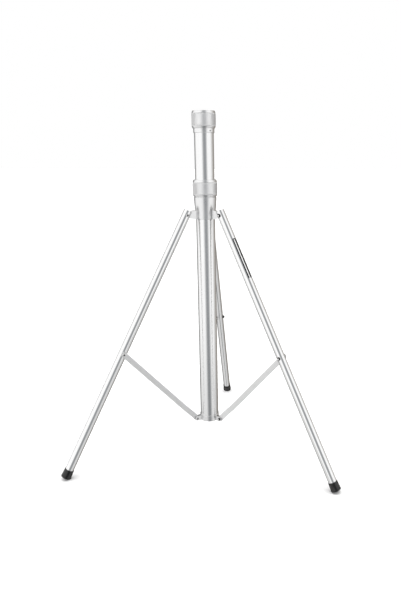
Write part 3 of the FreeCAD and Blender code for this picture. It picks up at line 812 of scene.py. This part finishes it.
def eased(node, body, material, width):
    """A copy of a node with every hard edge broken by a small round."""
    made = bmesh.new()
    made.from_mesh(NODES[node].data)
    bmesh.ops.remove_doubles(made, verts=made.verts, dist=EASE_WELD_DISTANCE)
    bmesh.ops.dissolve_limit(
        made, angle_limit=math.radians(FLAT_DEGREES), verts=made.verts, edges=made.edges
    )
    piece = new_piece(node + "_eased", made, body, [material])
    bevel = piece.modifiers.new("eased", "BEVEL")
    bevel.width = width
    bevel.segments = 2
    bevel.limit_method = "ANGLE"
    bevel.angle_limit = math.radians(EASE_OVER_DEGREES)
    bevel.use_clamp_overlap = True
    for face in piece.data.polygons:
        face.use_smooth = True
    # flat faces keep their shading right up to the rounds
    weighted = piece.modifiers.new("flat_faces", "WEIGHTED_NORMAL")
    weighted.mode = "FACE_AREA"
    weighted.weight = FLAT_FACE_WEIGHT
    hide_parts(node)


eased("top_collar", "column", TURNED, 0.0008)
eased("bottom_ring", "column", CAST, 0.0006)
eased("hub_body", "hub", CAST, 0.0006)
for leg in LEGS:
    eased("brace_" + leg, "brace_%s_arm" % leg, BAR, 0.0004)


# ---------------------------------------------------------------- materials of the CAD nodes


def dress(node, material):
    """Give every slot of a CAD node one material."""
    obj = NODES[node]
    if not obj.material_slots:
        obj.data.materials.append(material)
    for slot in obj.material_slots:
        slot.material = material


def dress_all():
    plain = {
        "column_tube": COLUMN_TUBE,
        "mast_tube": MAST_TUBE,
        "mast_top_plug": TURNED,
        "mast_end_cap": RUBBER,
        "column_base_plug": RUBBER,
        "hub_liner": NYLON_PALE,
        "hub_collet": NYLON_DARK,
        "top_collet": NYLON_DARK,
        "mast_guide_bush": NYLON_PALE,
        "top_collar_screws": STEEL,
    }
    for node, material in plain.items():
        dress(node, material)
    for name in LEGS:
        _, down, _, _ = leg_frame(name)
        dress("leg_tube_" + name, drawn_tube("leg_anodised_" + name, down, LEG_ROUGHNESS))
        dress("leg_brace_pin_" + name, ZINC)
        dress("leg_hinge_spacers_" + name, NYLON_PALE)
        dress("brace_washer_" + name, ZINC)


dress_all()


# ---------------------------------------------------------------- studio

CAMERA_TURN = math.radians(9.25)  # round the column, from its front
FLOOR_HALF = 30.0
FLOOR_GAP = 0.0005

SURROUND_STRENGTH = 3.0
# Bearing from the camera's side in degrees (positive is to its right), brightness, warmth.
# The first two rows go to the two stops that a colour ramp starts with, so they are its ends.
SURROUND = (
    (-180, 0.26, 0.0),
    (180, 0.22, 0.008),
    (-150, 0.24, 0.0),
    (-134, 0.30, 0.0),
    (-120, 0.92, 0.0),
    (-108, 1.14, 0.0),
    (-30, 1.18, 0.0),
    (-9, 0.36, -0.004),
    (17, 0.34, -0.004),
    (38, 1.16, 0.0),
    (80, 1.12, 0.0),
    (102, 0.66, 0.004),
    (122, 0.44, 0.008),
    (148, 0.22, 0.008),
)
# heights, on a sphere of radius 1, between which the ceiling comes in and the underside dims
CEILING_FROM, CEILING_TO = 0.66, 0.94
UNDERNEATH_FROM, UNDERNEATH_TO = -0.30, -0.46
CEILING = 3.0
CEILING_MIRRORED = 0.5
UNDERNEATH = 0.68
BACKDROP = 1.0


def lay_floor():
    """A pale floor that takes shadows and isn't mirrored in the metal."""
    floor = bpy.data.meshes.new("floor")
    half = FLOOR_HALF
    level = CAD_LOW.z - FLOOR_GAP
    corners = [(-half, -half, level), (half, -half, level), (half, half, level), (-half, half, level)]
    floor.from_pydata(corners, [], [(0, 1, 2, 3)])
    floor.materials.append(floor_material())
    ground = bpy.data.objects.new("floor", floor)
    bpy.context.scene.collection.objects.link(ground)
    ground.visible_glossy = False


def light_surround():
    """Soft light from all round: bright at both sides, darker behind and where the camera stands."""
    world = bpy.data.worlds.new("studio")
    world.use_nodes = True
    nodes = Nodes(world.node_tree)
    where = nodes.node("ShaderNodeTexCoord").outputs["Generated"]
    turned = nodes.node("ShaderNodeMapping", Vector=where, Rotation=(0.0, 0.0, -CAMERA_TURN))
    direction = nodes.node("ShaderNodeSeparateXYZ", _0=turned.outputs["Vector"]).outputs
    bearing = nodes.combine("ARCTAN2", direction["X"], nodes.combine("MULTIPLY", direction["Y"], -1.0))
    ramp = nodes.node("ShaderNodeValToRGB", _0=nodes.remap(bearing, -math.pi, math.pi))
    stops = ramp.color_ramp.elements
    for index, (degrees, grey, warm) in enumerate(SURROUND):
        place = (degrees + 180) / 360
        stop = stops[index] if index < 2 else stops.new(place)
        stop.position = place
        stop.color = rgba(grey / SURROUND_STRENGTH, warm)

    ray = nodes.node("ShaderNodeLightPath").outputs
    ceiling = nodes.mix(
        ray["Is Glossy Ray"],
        rgba(CEILING / SURROUND_STRENGTH),
        rgba(CEILING_MIRRORED / SURROUND_STRENGTH),
    )
    overhead = nodes.remap(direction["Z"], CEILING_FROM, CEILING_TO)
    light = nodes.mix(overhead, ramp.outputs[0], ceiling)
    underneath = nodes.remap(direction["Z"], UNDERNEATH_FROM, UNDERNEATH_TO)
    light = nodes.mix(underneath, light, rgba(UNDERNEATH), "MULTIPLY")
    seen = nodes.mix(ray["Is Camera Ray"], light, rgba(BACKDROP / SURROUND_STRENGTH))
    background = world.node_tree.nodes["Background"]
    nodes.link(seen, background.inputs["Color"])
    background.inputs["Strength"].default_value = SURROUND_STRENGTH
    bpy.context.scene.world = world
    bpy.context.scene.view_settings.view_transform = "Standard"


# ---------------------------------------------------------------- camera

CAMERA_DISTANCE = 1.7167
CAMERA_HEIGHT = 0.9501
CAMERA_PAN = math.radians(4.13)
CAMERA_TILT = math.radians(-14.51)
CAMERA_ROLL = math.radians(-0.13)
CAMERA_LENS = 34.09
CAMERA_SENSOR = 36.0
CAMERA_SHIFT = (-0.0774, -0.0033)
CAMERA_CLIP = (0.05, 100.0)


def camera():
    """The photographer's view: just right of the front, at the height of the stand's upper part."""
    data = bpy.data.cameras.new("camera")
    data.sensor_fit = "AUTO"
    data.sensor_width = CAMERA_SENSOR
    data.lens = CAMERA_LENS
    data.shift_x, data.shift_y = CAMERA_SHIFT
    data.clip_start, data.clip_end = CAMERA_CLIP
    eye = bpy.data.objects.new("camera", data)
    turn = Quaternion((0, 0, 1), CAMERA_TURN)
    eye.location = turn @ Vector((0, -CAMERA_DISTANCE, CAMERA_HEIGHT))
    forward = Vector(
        (
            math.sin(CAMERA_PAN) * math.cos(CAMERA_TILT),
            math.cos(CAMERA_PAN) * math.cos(CAMERA_TILT),
            math.sin(CAMERA_TILT),
        )
    )
    level = Vector((math.cos(CAMERA_PAN), -math.sin(CAMERA_PAN), 0))
    above = level.cross(forward)
    right = level * math.cos(CAMERA_ROLL) + above * math.sin(CAMERA_ROLL)
    up = above * math.cos(CAMERA_ROLL) - level * math.sin(CAMERA_ROLL)
    pose = Matrix((turn @ right, turn @ up, turn @ -forward)).transposed()
    eye.rotation_mode = "QUATERNION"
    eye.rotation_quaternion = pose.to_quaternion()
    bpy.context.scene.collection.objects.link(eye)
    bpy.context.scene.camera = eye


lay_floor()
light_surround()
camera()
